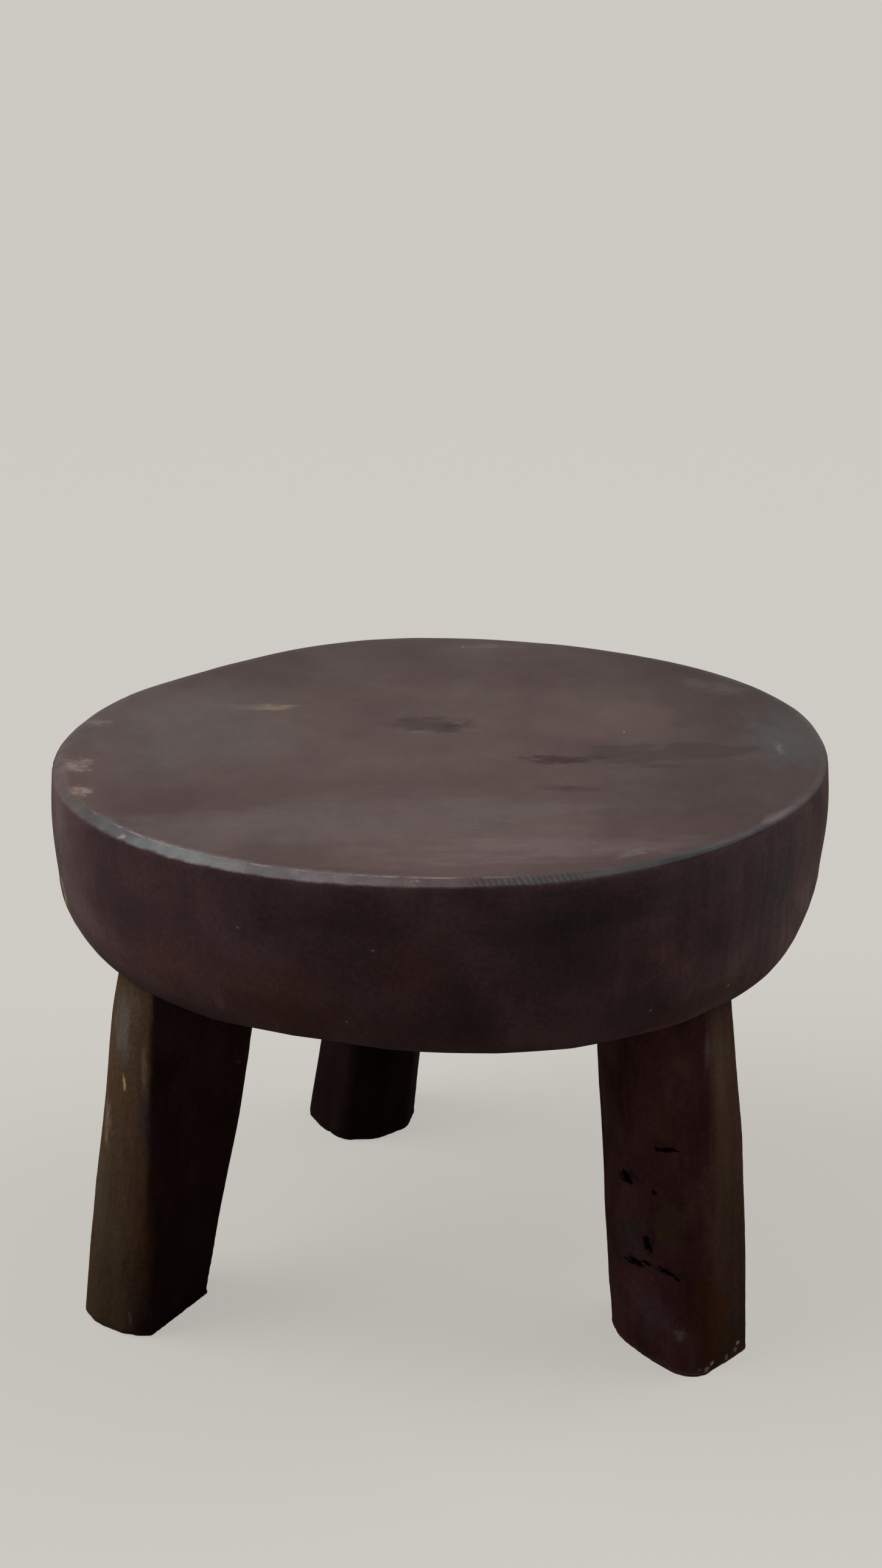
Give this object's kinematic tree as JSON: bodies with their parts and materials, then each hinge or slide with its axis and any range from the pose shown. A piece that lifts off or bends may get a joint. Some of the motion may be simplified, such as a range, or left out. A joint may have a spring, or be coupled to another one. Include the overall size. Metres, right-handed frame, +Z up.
{
  "type": "three-legged stool",
  "caption": "Low round stool: a thick hewn hardwood disc with a bevelled rim on three splayed, faceted posts held by hidden wedged tenons.",
  "frame": {"origin": "on the floor, under the middle of the seat's bounding box", "axes": "+Z up; -Y towards the viewer, the side with two legs; +X to the viewer's right"},
  "size_m": [0.4059, 0.405, 0.292],
  "materials": {
    "seat_wood": "dark hewn hardwood, waxed and worn, with a soft sheen on the top",
    "leg_wood": "dark hewn hardwood, unpolished, with worn arrises",
    "wedge_wood": "riven hardwood, bare"
  },
  "bodies": {
    "root": {"seat": "seat_wood", "leg_front_left": "leg_wood", "leg_front_right": "leg_wood", "leg_back": "leg_wood", "wedge_front_left": "wedge_wood", "wedge_front_right": "wedge_wood", "wedge_back": "wedge_wood"}
  },
  "joints": []
}
